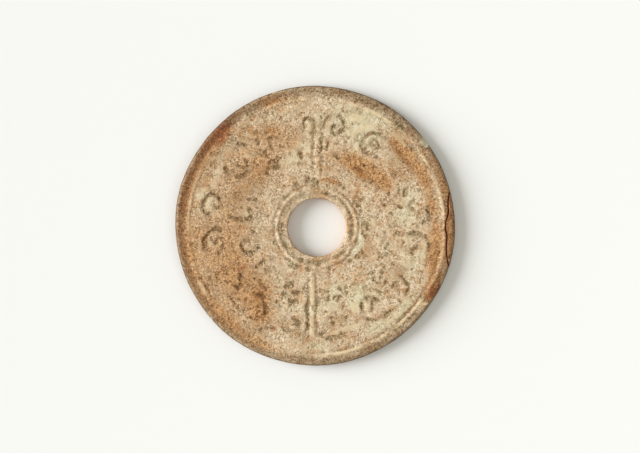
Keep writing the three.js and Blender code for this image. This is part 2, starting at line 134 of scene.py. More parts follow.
# Carved scrolls, as far as wear has left them, as (clearness, (x, y) points)
STROKES = [
    # North
    (0.85, [(-4.1, 33), (-3.8, 34.6), (-3.7, 36.4), (-3.5, 37.7), (-2.6, 38.4), (-1.5, 37.7),
        (-0.5, 36.6), (0, 35.2), (-0.3, 33.5), (-0.7, 32)]),
    (0.5, [(3.4, 34.2), (3.2, 35.8), (3.5, 37.2), (4.6, 38.2), (6.2, 38.8), (7.8, 39.2)]),
    (1, [(7.2, 39.1), (8.6, 39), (9.8, 38.1), (10.5, 36.6), (10.4, 35.2), (9.6, 33.8), (8.2, 32.8),
        (6.9, 33.1), (6.3, 34.3), (6.6, 35.4), (7.4, 36.3)]),
    (0.6, [(2.5, 33), (2.9, 31.6), (2.1, 30.6), (2.2, 29.5), (2.5, 28.2), (1.9, 25.9), (2, 24.6)]),
    (0.4, [(-0.4, 31), (-0.6, 29.5), (-0.9, 27), (-1, 25), (-0.8, 23)]),
    (0.7, [(6.4, 25.1), (7.4, 25.2), (8.4, 24.4), (9.2, 23.4)]),
    (0.6, [(3.3, 27.1), (4, 27.6), (4.8, 28.8), (5, 30.2)]),
    (0.5, [(-6.3, 21.9), (-5, 22.2), (-3, 22.4)]),
    (0.5, [(-14, 25), (-12.8, 24.4), (-11.6, 23.9)]),
    (1, [(-16.4, 21.4), (-15.8, 22.6), (-14.6, 22.9), (-13.6, 22.6), (-13.2, 21.6), (-13.6, 20.8),
        (-15, 20.6), (-16.2, 20.9)]),
    # North-east
    (0.65, [(18.9, 25.7), (17.4, 26.8), (16.8, 28.2), (17, 30), (17.9, 31.6), (19.4, 32.7), (21.2, 33.1),
        (22.8, 32.9), (24, 31.9), (25.6, 31.3)]),
    (0.6, [(20.4, 28), (20.3, 29.2), (21, 30.2), (22, 30.4), (22.8, 29.4), (22.6, 28.2), (21.8, 27.4)]),
    # East
    (1, [(39.9, 7.3), (40.1, 6), (40.7, 4.5), (41, 3), (40.6, 1.3)]),
    (0.4, [(34.3, 5.6), (34, 7), (34.6, 8.4), (36, 8.8), (37.6, 8.2)]),
    (0.4, [(35.2, 4.6), (36.4, 5.1), (37.6, 4.7)]),
    (0.75, [(28.2, -3.4), (29, -2.7), (30.3, -3), (31.4, -2.9), (33, -2.8), (34.4, -2.9), (36, -2.7),
        (37.6, -3.1), (38.8, -3.6), (39.8, -3.8), (40.5, -5), (40.8, -6.6), (40.8, -8), (40.5, -9.4),
        (40, -10.6)]),
    (1, [(37.2, -7.5), (36.2, -7.8), (35.2, -8.4), (34.8, -9.4), (35.4, -10.4)]),
    (0.4, [(30, -8), (29.9, -6.6), (30.6, -5.6), (31.6, -5.8), (31.6, -7)]),
    (0.7, [(28, 8), (29.3, 7.4), (30.2, 6.7), (31.2, 5.9)]),
    (0.8, [(33.2, 12.7), (32.2, 12.9), (31.8, 11.6), (31.9, 10.1)]),
    (0.6, [(30.4, 13.6), (30.2, 12), (30.3, 10.5)]),
    # South-east
    (0.7, [(17.9, -31.4), (17.2, -30.4), (16.8, -29), (16.9, -27.6), (17.8, -26.4), (19.2, -25.5),
        (20.6, -25.5), (22, -26.3), (22.7, -27.5)]),
    (0.7, [(20.9, -26.6), (20.4, -27.8), (20.3, -29.2), (20.2, -30.8)]),
    (0.85, [(18.2, -32.8), (19.6, -33.5), (21.4, -33.4), (23.2, -32.8), (24.8, -32.1), (26, -31.2),
        (27.4, -30.3), (28.8, -29.6)]),
    (1, [(32, -19.3), (32.6, -20.4), (33.3, -21.4), (33.3, -22.6), (32.9, -23.8), (32.6, -25)]),
    (0.7, [(27.8, -22.4), (28, -21.4), (29, -20.6), (30.2, -20.6)]),
    (0.8, [(22.2, -22.4), (22.7, -23.2), (23.5, -24.1), (24.1, -24.6)]),
    (0.5, [(39.8, -22), (39, -23.4), (38.6, -24.4)]),
    (0.6, [(34.6, -29), (33, -30.8), (31.4, -32.6), (30, -33.8)]),
    (0.5, [(35.8, -31), (34.2, -32.6), (31.8, -34.8)]),
    # South
    (0.9, [(-2.4, -24.8), (-2.2, -26.2), (-2.5, -27.6), (-2.9, -29.5), (-2.6, -31), (-2.3, -32.8),
        (-2.5, -34.6), (-2.4, -36.2), (-3, -37.6), (-3.8, -39)]),
    (1, [(1.2, -25.4), (0.8, -26.6), (0.9, -28), (0.9, -29)]),
    (0.3, [(0.9, -29), (0.4, -30.6), (0.3, -32.4), (0.6, -35), (1, -36.2)]),
    (0.6, [(0.2, -37.4), (1.6, -38.6), (2.4, -38.9), (3.2, -38.4), (3.6, -37.8)]),
    (0.9, [(-10.8, -22.2), (-10, -21.3), (-9, -20.8), (-8.2, -20.8), (-7.4, -21.2)]),
    (1, [(-8, -24.4), (-7.6, -23.9), (-6.6, -23.8), (-5.8, -24.2)]),
    (1, [(-5.8, -26.8), (-7, -27), (-8.4, -27.2), (-9.2, -26.6), (-8.9, -25.6)]),
    (0.9, [(-8.3, -33.4), (-7.4, -33), (-6.4, -33.6), (-5.9, -34.4)]),
    (0.6, [(-11.4, -35.4), (-11.2, -36.8), (-10.4, -37.5), (-9.4, -37.4), (-9.2, -36.2)]),
    (1, [(8, -22), (8.8, -22.2), (9.6, -23)]),
    (0.8, [(6.9, -26.6), (7, -25.8), (7.8, -25.2), (8.8, -25), (8.3, -26.2), (7.2, -26.8)]),
    (0.7, [(4.8, -27), (4.9, -26), (5.3, -25.2), (5.8, -25.6)]),
    (0.6, [(4.2, -33), (5.2, -33), (6.6, -32.6), (8, -32.4)]),
    (0.8, [(5.4, -34.8), (6.4, -34.8), (7, -35.4)]),
    (0.8, [(3.8, -40), (4.8, -40.2), (6, -40), (7.6, -39.8), (9.4, -39.6)]),
    (0.5, [(9.6, -37.6), (9.2, -39), (10, -40)]),
    # South-west
    (1, [(-26.6, -16.6), (-26.4, -18.4), (-26.6, -19.8)]),
    (1, [(-29.4, -20.8), (-28.6, -21.2), (-27.8, -22), (-27, -21.8), (-26.4, -21.2), (-26, -20.6)]),
    (1, [(-21.3, -15.2), (-20.4, -14.4), (-19.4, -13.8), (-18.6, -13), (-17.8, -12.6)]),
    (0.8, [(-17.9, -16.3), (-17, -15.5), (-16.1, -16.3), (-17, -17.2), (-17.8, -16.6)]),
    (0.5, [(-19.6, -19), (-19.2, -20.4), (-18.6, -21.6), (-16.6, -22.6)]),
    (1, [(-20.8, -25.2), (-19.8, -24.6), (-19, -25), (-18.4, -26), (-18, -27.2), (-17.6, -28.6),
        (-17.4, -29.6), (-17.6, -31), (-18, -32)]),
    (0.9, [(-23.4, -32), (-22.4, -32.6), (-21.4, -33), (-20.6, -33.8), (-20.2, -33.2), (-20.4, -32.2)]),
    (0.7, [(-31.8, -24.4), (-30.6, -24.8), (-29.6, -25.6), (-28.8, -26.6), (-28.4, -27.8)]),
    (0.7, [(-26.6, -26), (-27.6, -26.4), (-28.4, -26.8)]),
    (0.4, [(-28.4, -28), (-27.4, -29), (-26.2, -30), (-25, -30.8)]),
    (0.8, [(-39.6, -20.4), (-39, -21.2), (-38.4, -22.2), (-38.2, -23)]),
    (0.7, [(-31.6, -16.8), (-30.4, -17)]),
    # West
    (0.75, [(-36.8, 3.3), (-38.4, 4.2), (-39.6, 5.1), (-40, 6.7), (-39.7, 8.4), (-38.7, 10),
        (-37.2, 11.1), (-35.6, 11.3), (-34.5, 10.4), (-33.8, 9.2), (-33.5, 8.1)]),
    (1, [(-36.6, 7.2), (-35.6, 6.7), (-34.4, 6.5), (-33.3, 6.7), (-32.9, 7.4)]),
    (1, [(-32.6, -2), (-34, -1.4), (-35.3, -1), (-36.2, -1.3), (-37.2, -2), (-38, -2.7), (-38.9, -4),
        (-39.6, -5.5), (-39.4, -7), (-38.6, -8.3), (-37.5, -9.2)]),
    (1, [(-35.4, -9.6), (-33.9, -9.8), (-33.2, -8.5), (-32.6, -7), (-32.5, -5.8), (-33.2, -4.8),
        (-34, -4.4), (-34.6, -5.2), (-35.6, -5.8), (-36.2, -5.7)]),
    (0.8, [(-24.6, 9.3), (-24, 9.6), (-22.5, 9.5), (-21, 9.3), (-20.3, 8.9)]),
    (1, [(-31, 4.1), (-30, 3.2), (-28.4, 2.5), (-26.5, 2.2), (-24.6, 2.3), (-23.2, 3), (-22.3, 4)]),
    (1, [(-22.7, -5.6), (-24, -5.5), (-25.2, -6), (-25.9, -7.2), (-25.5, -8.5), (-24.3, -9.4),
        (-22.8, -9.6), (-21.3, -9.3), (-20.3, -8.3), (-20.4, -7.1)]),
    (0.7, [(-27.8, -2), (-28.8, -2.5), (-29.8, -3.3)]),
    # North-west
    (1, [(-28, 29.4), (-27.4, 29.3), (-26.4, 29), (-25.2, 28.8), (-24.2, 28.6)]),
    (0.6, [(-28.2, 27.6), (-27.6, 27.4), (-27, 26.6)]),
    (0.6, [(-15.8, 29.8), (-15.6, 28.4), (-15, 27.2)]),
    (0.5, [(-20.5, 30.4), (-20.2, 29.6), (-19.8, 28.6)]),
    (0.6, [(-22, 33), (-21.2, 33.2), (-20.4, 33)]),
    (1, [(-25.4, 23), (-24.4, 23.2), (-23.9, 22.2), (-23.8, 21)]),
    (0.9, [(-24, 20.4), (-24.2, 19.2), (-24.8, 18.4), (-26, 17.8), (-27.4, 17.6), (-28.6, 18)]),
    (0.9, [(-30, 18.4), (-31.2, 19.2), (-32, 20.4), (-32.2, 21.4)]),
    (0.5, [(-27.8, 22.2), (-27, 21.4), (-25.8, 20.8), (-24.8, 20.2)]),
    (0.8, [(-17.8, 20.3), (-16.8, 20.5), (-15.8, 20.4)]),
    (0.5, [(-37, 21), (-36.6, 22.2), (-35.8, 22.6), (-35.4, 21.6), (-36, 20.8)]),
    (0.6, [(-37.4, 26), (-36, 25.6), (-34.8, 25.6), (-34.4, 26.2)]),
    # Inside, by the inner border
    (0.8, [(16, 0.6), (17.4, 0.9), (18.6, 0.4), (19, -0.8), (18.6, -1.8)]),
    (0.5, [(16.4, -0.6), (16.2, -1.8), (16.8, -2.8), (18, -2.9)]),
]
# Smooth pale tails of the raised scrolls: (strength, half width, (x, y) points)
TAILS = [
    (1, 1, [(4.6, -38.6), (6.6, -38.4), (9, -37.6), (11.6, -36.5), (14, -35.8), (17, -35.5)]),
    (0.8, 0.9, [(18.6, -27.6), (19, -29), (18.9, -30.6)]),
    (1, 1.7, [(14.4, -27), (14.3, -29), (14.8, -31)]),
    (0.5, 0.9, [(4, -28.4), (5.4, -29.8), (7, -29)]),
    (0.5, 0.8, [(-42, -18.6), (-41, -21.4), (-39.6, -23.8), (-38, -26)]),
    (0.7, 0.8, [(24, -35.8), (27, -34), (29.6, -31.8), (31.8, -29.4)]),
    (0.6, 0.7, [(17, -18.6), (18.4, -19.6)]),
    (0.8, 0.9, [(38.6, -5.4), (39, -7.4), (39, -9.6), (38.4, -12), (37.4, -14)]),
    (0.6, 0.8, [(30, -4.6), (33, -4.6), (36, -4.6)]),
    (1, 1.1, [(12.6, 30.4), (13.8, 32.6), (15.6, 34.2), (17.8, 35), (20.2, 35.2), (22.4, 34.6)]),
    (0.7, 0.7, [(-4.4, 47.6), (-1.8, 47)]),
    (0.6, 0.5, [(5.6, 48.4), (4.4, 45.8)]),
    (0.7, 0.8, [(12.4, 36.6), (12.6, 34.6), (11.8, 32.8)]),
    (0.7, 0.9, [(15.2, 26.4), (14.8, 28.4), (15.2, 30.6)]),
    (0.6, 0.9, [(26.6, 33.6), (29.6, 31.4), (32, 28.8), (33.4, 26.8)]),
    (0.7, 0.8, [(-1.8, 33), (-1.9, 35), (-2, 36.6)]),
    (0.6, 0.8, [(-37.8, 5.6), (-38.2, 7.4), (-37.2, 9), (-35.6, 9.4)]),
    (0.7, 0.8, [(-41.6, 9), (-41, 11.4), (-39.4, 13), (-37.6, 13.6)]),
    (0.5, 0.8, [(-37.6, -4), (-37.8, -5.8), (-36.8, -7.4)]),
    (0.5, 1, [(-25.6, 25.4), (-23, 25), (-21, 26)]),
    (0.5, 0.8, [(-30.2, 30.6), (-29.4, 28.4), (-31, 26.4)]),
    (0.5, 0.7, [(-35.6, 16), (-35.2, 14), (-35.8, 12.6)]),
    (0.5, 0.8, [(-13.4, -33.8), (-13, -32.2), (-11.8, -31)]),
    (0.5, 0.8, [(-25.2, -33.6), (-25.6, -32)]),
    (0.6, 0.8, [(4.4, 33.4), (4.6, 35.6), (5.8, 37.2)]),
    (0.8, 1.6, [(12, 38.4), (15, 38.4), (18.4, 38)]),
    (0.6, 0.8, [(23.4, -9), (22.8, -7), (23.6, -5.2)]),
]
# Silted stretches of the rim and of the field, as the colour patches below are given
SILT = [
    (18.5, 43.9, 1.1, 2.6, 0.3), (25, 47.8, 1.7, 10, 0.4), (32.3, 33.4, 2, 1.2, 0.45),
    (40, 46.6, 1.8, 4, 0.7), (66, 48, 1.4, 6, 0.15), (81, 47.1, 0.8, 4.5, 0.45), (112, 47.6, 1.2, 3, 0.3),
    (141, 46.6, 1.4, 4, 0.5), (155, 47.2, 1.6, 9, 0.35), (172, 47.8, 1.4, 5, 0.4),
    (186, 46.8, 1.8, 6, 0.5), (331, 46.2, 1.4, 4, 0.5),
]
# Dabs of lodged dirt, as (reach, strength, (x, y) middles)
DABS = [
    (0.5, 0.7, [(-35, -21.4), (-33.2, -21.4), (-30.2, -20)]),
    (0.5, 0.8, [(-31.8, -19.8)]),
    (0.6, 0.6, [(-4.2, 29.8), (4.2, -30.8), (8.6, 29.2)]),
    (0.6, 0.7, [(-24.6, -26.2), (-20.6, -28.8), (-2.5, -23.5), (-2.3, -43.6)]),
    (0.6, 0.8, [(-34.4, -19.2), (-33.4, -20.1), (-31.2, -20.5), (-2.4, -39.6)]),
    (0.7, 0.6, [(-30.4, -36.8), (-19.4, 27.2), (-14.4, 41.6), (-13.5, -27), (11.2, 30)]),
    (0.7, 0.7, [(-37.4, -18.6), (-26.2, 6.4), (-21.6, -19), (-20.5, 21.8), (-19, 25), (0.8, -23.6),
        (4.8, -23.4), (8.6, -22.2), (12.6, -22), (22.2, -20.4), (22.5, 13.6), (26.8, -0.4)]),
    (0.7, 0.8, [(-36.6, -28.4), (-21.4, -16.8), (-19.2, -36.8), (-12, 28.4), (-10.4, -25.6), (21.4, 30.5),
        (24.2, 13.6)]),
    (0.7, 1, [(-27.6, 29.3)]),
    (0.8, 0.4, [(-28.6, 31.2)]),
    (0.8, 0.5, [(-12.5, -28.8), (38.7, 24.6)]),
    (0.8, 0.6, [(-31.4, 15.6), (-27.4, -13.8), (-17, -36.6), (-12, 38.5), (15.6, 4), (21, 21),
        (43, 9.4)]),
    (0.8, 0.7, [(-21.8, 22.8), (-17.4, 33.2), (-17, 18.8), (-4.8, 24.2), (14, 24.6), (17.6, 21.5),
        (26.5, 11.5), (26.9, -9.2), (27, 4.4), (28.9, 18.7), (37.8, -25.6), (44, -9.4)]),
    (0.8, 0.8, [(-22.6, -1), (-21.9, -2), (1.8, -23.2), (11.2, -22), (11.6, -24), (16, 20), (23.5, -18.6),
        (23.8, -13.7), (24.8, 7.5), (25, -14.5), (25.2, -8), (26.2, 11.2), (28.9, 0), (30.8, -18.2)]),
    (0.8, 0.9, [(-33.2, -33.2), (17.9, 27.6), (18.8, 25.9), (21.9, 24.5), (23.2, 32.6), (25, 31.4),
        (25.2, -20.2), (26, -6.6), (31.7, -19.4), (34.8, 6)]),
    (0.8, 1, [(-35, -18), (-3.8, -22.2)]),
    (0.9, 0.5, [(-37, 17.8)]),
    (0.9, 0.6, [(-30.8, 32.4), (-14.8, 40.5), (-13.8, 3), (-11.4, 10), (10, -38.4), (13.8, 8.2), (16, 9),
        (16.6, 2.6)]),
    (0.9, 0.7, [(10.4, 13.6), (14.5, 21), (16.8, -9.4), (20.4, 15.8), (23.4, -11.2), (28, -13.8)]),
    (0.9, 0.8, [(-18, 26.3), (-17, 24.8), (11.2, -32.8), (14, -20.6), (18.2, -3.6), (25.6, -10.2)]),
    (0.9, 0.9, [(-41.4, -18.6), (-38.6, 4.2), (-35, 11), (5.6, -40.2), (21, -19), (23.7, -16.7),
        (38.8, 0.9)]),
    (0.9, 1, [(-20.5, 30.4), (30.6, -26.8)]),
    (1, 0.5, [(-17.5, 40.6)]),
    (1, 0.6, [(-13.6, -1.2)]),
    (1, 0.7, [(16.2, 5.4), (37.4, 12.6)]),
    (1, 0.8, [(9, 14.8)]),
    (1, 0.9, [(-22.3, 2.2), (-21, -33.2), (-14.4, -6), (-8.6, -14.2), (-2.6, -15.4), (5, -15.2),
        (20.8, -16.6)]),
    (1, 1, [(-24.6, 22.8), (-17.4, -29.2), (-16, 31), (-9, -26.4), (15, -11)]),
    (1.1, 0.7, [(15.4, 7.4)]),
    (1.1, 0.8, [(-6.6, 14.6), (-0.7, 14.2), (12.6, -12.4)]),
    (1.1, 0.9, [(-23.2, 5.4), (-19.5, -24.8), (-5.3, 25.5), (40.1, 6.4)]),
    (1.1, 1, [(-27.2, -21.9)]),
    (1.2, 0.8, [(12.6, 2.6), (13, 0)]),
    (1.2, 0.9, [(-10.6, -7), (-7, -14.4)]),
    (1.2, 1, [(-11, -24.4), (-5, -12.2)]),
    (1.3, 0.6, [(-5.4, 12.8)]),
    (1.3, 0.7, [(34.8, 27.6)]),
    (1.4, 0.8, [(-6.2, -35.2), (-2.6, 16.2)]),
    (1.4, 1, [(0.8, -13.8), (13.2, -2.4)]),
    (1.5, 0.9, [(0, 15.8)]),
]

# Damage. The crack and the pale vein are given as (clock angle, radius) points
CRACK = [(75.8, 50.4), (76.5, 49.4), (80, 48.3), (84.5, 47.8), (87.5, 46.9), (89, 46.6), (92, 46.6),
         (94.5, 47.1), (100, 47.4), (103, 48.1), (106, 49.2), (108, 50.4)]
CRACK_HALF, CRACK_CORE, CRACK_DEPTH = 0.5, 0.15, 1.1
CRESCENT_LEVEL = 4.5
CRESCENT_FALL, CRESCENT_FALL_START = 0.2, 48.5  # the crescent's slope, and the radius where it starts
UPPER = 2.0  # the height above which the crack and the crescent lie
# Chips, as (clock angle, radius, level, size)
CHIPS = [(53, 50.6, 5.7, 2.3), (343, 50.9, 4.6, 1.3), (228, 51.0, 4.9, 1.4)]
CHIP_REACH = 1.25  # how far the chip's colour reaches, as a share of its size
VEIN = [(124.4, 49.3), (125.4, 48.2), (126.3, 47.2), (127.2, 46.1)]
VEIN_HALF = 0.4

# Dry skin of the face: grain, pits, and calmer stretches on the rim and on the crescent
GRAIN_HEIGHT = 0.02
PIT_START, PIT_DEPTH, PIT_STAIN = 0.55, 0.16, 1.6
CALM_START, CALM_SHARE = 46.3, 0.45
CRESCENT_CALM = 0.6

# Underside: plain, with one shallow sunk line inside each edge, as (middle, radius)
UNDERSIDE_LINES = [(MIDDLE, 44.6), (HOLE_CENTRE, 15.2)]
UNDERSIDE_LINE_HALF = 0.55
UNDERSIDE_LINE_DEPTH = 0.3
ON_THE_FLOOR = 0.001  # the height under which a point is on the underside

# Uneven values, as a middle value and then layers of noise: (swing, width, seed)
STROKE_LEFT = (0.85, (0.45, 3.2, 11), (0.5, 1.1, 12))
STROKE_WIDTH = (1.0, (0.25, 2.2, 13))
BORDER_LEFT = (0.95, (0.65, 2.4, 14))
RING_LEFT = (0.55, (0.9, 2.0, 15))
BAR_LEFT = (0.55, (0.8, 2.6, 16))
CRACK_WANDER = (0.0, (0.12, 1.1, 21))
CRESCENT_SKIN = (0.0, (0.16, 1.3, 22), (0.1, 0.6, 23))
CRACK_WIDTH = (1.0, (0.35, 2.0, 24))
CHIP_SKIN = (1.0, (0.15, 0.9, 25))
SWELLS = (0.0, (0.05, 7.0, 31), (0.03, 2.6, 32))
GRAIN = (0.0, (1.0, 1.1, 33), (0.7, 0.6, 34))
NICKS = (0.0, (0.05, 3.0, 41), (0.03, 1.0, 42))
NOISE_CELLS = 64
NOISE_OFFSET = 1000.0  # keeps the noise's cell numbers above zero

# Broad colour: (clock angle, radius, reach along the radius, reach round the disc, strength)
CHALK = [
    (0, 36, 5, 5, 0.5), (12, 44, 2, 8, 0.3), (22, 38.5, 6, 9, 0.85), (30, 38, 2.8, 5, 0.9),
    (30, 44.3, 2, 6, 0.8), (32, 33, 3, 4, 0.5), (73, 35.5, 2.5, 3, 0.6), (82, 32, 5, 5, 0.8),
    (104, 28, 4, 5, 0.35), (110, 37.5, 4, 6, 0.6), (113, 17, 2, 6, 0.8), (132, 48, 1.2, 3, 0.5),
    (133, 43, 2, 8, 0.8), (142, 31.5, 3, 5, 0.5), (143, 27.5, 2.5, 4, 0.6), (148, 42.5, 2.6, 5, 0.8),
    (151, 31, 3.5, 4, 1), (162, 24.5, 3, 4, 0.8), (165, 33, 4, 3, 0.4), (172, 28, 3, 4, 0.45),
    (179, 42.8, 1.8, 6, 0.7), (183, 29.5, 4, 4, 0.6), (188, 46, 1.2, 5, 0.4), (199, 30.5, 2.5, 3, 0.4),
    (255, 24.5, 2.5, 3, 0.4), (261, 36.5, 2, 2.5, 0.35), (279, 25, 2.5, 3.5, 0.4),
    (280, 36.5, 2, 2.5, 0.45), (283, 39.6, 1.8, 4.5, 0.7), (285, 43, 1.7, 1.8, 0.7),
    (299, 39.5, 1.6, 3.5, 0.5), (342, 25.5, 3, 5, 0.5), (352, 28.5, 3, 3, 0.4),
]
RUSSET = [
    (12, 25.5, 4, 6, 0.45), (22, 17, 1.6, 3.5, 0.9), (30, 26.5, 3.5, 5, 0.9), (43, 27, 4, 6, 1),
    (50, 41.5, 3, 8, 1), (57, 29, 3.5, 5, 0.85), (61, 36.5, 3, 4, 0.45), (66, 42.5, 2.6, 6, 0.95),
    (72, 48, 2, 10, 0.75), (80, 42.3, 2.2, 5, 0.85), (86, 48.6, 1.8, 8, 0.7), (92, 47.4, 2, 9, 0.7),
    (94, 43.2, 2, 6, 0.9), (98, 48.4, 2, 8, 1), (101, 43, 1.8, 5, 0.85), (106, 44.4, 2.4, 6, 1),
    (115, 47, 2.3, 5, 1), (121, 47.8, 2.5, 3.5, 1), (125, 30, 2.5, 3, 0.3), (128, 36, 2.5, 4, 0.3),
    (155, 36.5, 2, 3, 0.35), (160, 30.5, 2, 0.9, 0.7), (165.7, 34.6, 1.3, 2.8, 0.6),
    (183, 35, 2.5, 4, 0.3), (190, 47.3, 2, 5, 0.4), (205, 46.5, 2.4, 7, 0.6), (211, 37, 4.5, 5, 0.7),
    (218, 31.5, 5, 3.5, 0.9), (225, 46.5, 2.8, 13, 0.85), (238, 34, 12, 18, 0.75),
    (256, 46.7, 2.6, 13, 0.8), (265, 42, 4, 9, 0.45), (268, 29, 8, 9, 0.4), (284, 47.2, 2.4, 15, 1),
    (308, 33, 13, 20, 0.52), (311, 47, 2.8, 9, 1), (322, 28, 5, 7, 0.4), (335, 37, 4, 5, 0.5),
    (340, 47.4, 2, 5, 0.65), (345, 31, 5, 5, 0.5), (345, 46.5, 2.4, 8, 0.5),
]
UMBER = [
    (9, 47.8, 1.2, 2.5, 0.4), (16, 42.2, 1.5, 5, 0.35), (25, 48.4, 1.5, 11, 0.4), (40, 24.8, 2, 4.5, 0.8),
    (40, 43.6, 1.6, 4, 0.45), (40, 46, 1.6, 4, 0.6), (43, 40.6, 1.2, 2.5, 0.6), (50, 35, 3, 4, 0.45),
    (50, 38, 2, 4, 0.4), (50, 39.5, 1.2, 5.5, 1), (57, 40.2, 1.1, 3, 0.7), (60, 29.2, 1.6, 4, 0.5),
    (60, 35.5, 3, 4, 0.4), (68, 43, 1.5, 4, 0.4), (83, 49, 1, 4, 0.4), (90, 36.6, 1, 2, 0.4),
    (101, 43, 1.2, 3, 0.4), (104, 49.4, 0.9, 5, 0.2), (110, 45.3, 1.4, 5, 0.6),
    (118, 34.5, 2.5, 3.5, 0.5), (119, 48, 1.6, 3.2, 0.6), (121, 34.5, 2.5, 4, 0.35),
    (145.5, 39.7, 1.1, 3, 0.4), (154, 47.8, 1.7, 7, 0.6), (165.7, 34.9, 1.3, 2.6, 0.5),
    (188, 38.8, 1.4, 2.4, 0.6), (189.7, 35.7, 1.4, 1.8, 0.5), (190, 39.3, 1.6, 2.6, 0.45),
    (207, 40.5, 1.5, 3, 0.4), (210, 42.5, 2, 4, 0.5), (210.5, 36.3, 2, 2.5, 0.6),
    (214, 34.4, 2.4, 2.4, 0.6), (215, 45.6, 2, 7, 0.4), (219, 31.4, 2.6, 2.6, 0.75),
    (224, 42.5, 2, 6, 0.35), (226, 28, 2.4, 2.2, 0.55), (232, 32, 4, 4, 0.35), (240, 29.8, 2.5, 2, 0.4),
    (240, 49, 1.1, 10, 0.5), (241, 43.5, 2, 4, 0.45), (245, 41.8, 2.4, 7, 0.35), (253, 47.8, 2, 13, 0.28),
    (262, 40, 1.4, 3, 0.6), (264, 48.8, 1.4, 12, 0.5), (269, 38, 1.5, 4, 0.5), (272, 26, 3, 3.5, 0.45),
    (279, 46.7, 0.8, 2, 0.5), (283, 32, 3, 5, 0.3), (286, 48.4, 1.6, 9, 0.5), (287, 47.6, 2, 13, 0.3),
    (291, 29, 3, 4, 0.5), (298, 43.8, 2.4, 12, 0.45), (300, 36.5, 2.5, 4, 0.4), (303, 48, 1.8, 8, 0.9),
    (305, 27, 6, 14, 0.45), (310, 25, 2, 3, 0.4), (314, 39.5, 2.5, 7, 0.3), (314, 48, 2.2, 8, 0.9),
    (318, 43, 2.5, 7, 0.5), (321, 48.8, 1.6, 4, 0.9), (326, 49, 1.2, 5, 0.5), (329, 48.6, 1.1, 2, 0.4),
    (330, 38.6, 2.5, 4, 0.4), (330, 44.8, 1.4, 4, 0.45), (338, 36, 3, 3, 0.4), (338, 47.8, 1.8, 9, 0.45),
    (350, 33.5, 2, 2, 0.4), (351, 43.6, 2, 4, 0.35), (352, 48.4, 1, 2, 0.4),
]
RUST = [
    (60, 41.8, 1, 1.4, 0.3), (71, 42.3, 0.9, 1.3, 0.4), (76.4, 49.6, 0.8, 0.8, 1),
    (113.5, 48, 1.4, 2.4, 0.4), (117, 49, 1.1, 2.4, 0.5), (120, 47.9, 2, 3, 0.95),
    (176.5, 49.1, 0.8, 1.2, 0.5), (192.3, 38.6, 1, 0.8, 0.6), (202.4, 39.6, 1.2, 1.5, 0.9),
    (207, 48.2, 0.9, 0.9, 0.6), (219, 31.2, 1.6, 1.6, 0.45), (226.5, 48.8, 1, 1.2, 0.6),
    (240, 30.2, 2.2, 1.1, 0.8), (249.8, 49, 1.1, 2.8, 0.6), (305, 47.4, 1.9, 6, 0.6),
    (312.5, 45.6, 1.9, 2.4, 0.8), (315.5, 47.6, 2.5, 4.6, 1), (336.5, 48.1, 1.1, 1.2, 0.6),
]


# ---- small tools
def at(clock, radius):
    """The point at a clock angle and a radius."""
    angle = np.radians(clock)
    return np.stack([radius * np.sin(angle), radius * np.cos(angle)], axis=-1)


def clock_of(places):
    """The clock angle of each place, from -180 to 180."""
    return np.degrees(np.arctan2(places[:, 0], places[:, 1]))


def radius_of(places, centre=MIDDLE):
    """How far each place is from a centre, seen from above."""
    return np.hypot(*(places[:, :2] - centre).T)


def smooth(share):
    """0 to 1 with a smooth start and end."""
    share = np.clip(share, 0.0, 1.0)
    return share * share * (3 - 2 * share)


def rise(value, start, over):
    """0 up to a start, rising smoothly to 1 that much over it."""
    return smooth((value - start) / over)


def fall(value, end, over):
    """1 until that much before an end, falling smoothly to 0 at the end."""
    return smooth((end - value) / over)


def bell(distance, reach):
    """1 at no distance, falling to about a third at the reach."""
    return np.exp(-((distance / reach) ** 2))


def fade(distance, reach, core):
    """1 within a core, a share of the reach, falling smoothly to 0 that much beyond the reach."""
    return smooth(1 + core - distance / reach)


def run_out(share, left, length):
    """How much is left along a line whose ends fade, over a length given as a share of the line."""
    return smooth(left + np.minimum(share, 1 - share) / length)


def through(knots, radius):
    """A smooth curve through (radius, height) knots that is level at each knot."""
    radii = np.array([k[0] for k in knots])
    heights = np.array([k[1] for k in knots])
    i = np.clip(np.searchsorted(radii, radius) - 1, 0, len(knots) - 2)
    share = smooth((radius - radii[i]) / (radii[i + 1] - radii[i]))
    return heights[i] + (heights[i + 1] - heights[i]) * share


def noise(points, width, seed):
    """Smooth seeded noise from -1 to 1 at points in millimetres, with features about a width wide."""
    table = np.random.default_rng(seed).uniform(-1, 1, (NOISE_CELLS, NOISE_CELLS, NOISE_CELLS))
    scaled = points / width + NOISE_OFFSET
    base = np.floor(scaled).astype(int)
    part = smooth(scaled - base)
    total = np.zeros(len(points))
    for corner in range(8):
        pick = np.array([corner & 1, corner >> 1 & 1, corner >> 2 & 1])
        weight = np.prod(np.where(pick, part, 1 - part), axis=1)
        i, j, k = ((base + pick) % NOISE_CELLS).T
        total += weight * table[i, j, k]
    return total


def uneven(points, wander, lowest=-np.inf, highest=np.inf):
    """A value that wanders from point to point, from a middle value and layers of noise."""
    middle, *layers = wander
    value = middle + sum(swing * noise(points, width, seed) for swing, width, seed in layers)
    return np.clip(value, lowest, highest)


def curve_through(points, spacing=0.2):
    """Close points on a Catmull-Rom curve through the given ones."""
    points = np.array(points, float)
    padded = np.vstack([2 * points[0] - points[1], points, 2 * points[-1] - points[-2]])
    made = []
    for i in range(1, len(padded) - 2):
        p0, p1, p2, p3 = padded[i - 1 : i + 3]
        t = np.linspace(0, 1, max(2, int(np.linalg.norm(p2 - p1) / spacing)), endpoint=False)[:, None]
        made.append(
            0.5 * (2 * p1 + (p2 - p0) * t + (2 * p0 - 5 * p1 + 4 * p2 - p3) * t**2
                   + (3 * p1 - p0 - 3 * p2 + p3) * t**3)
        )
    made.append(padded[-2:-1])
    return np.vstack(made)


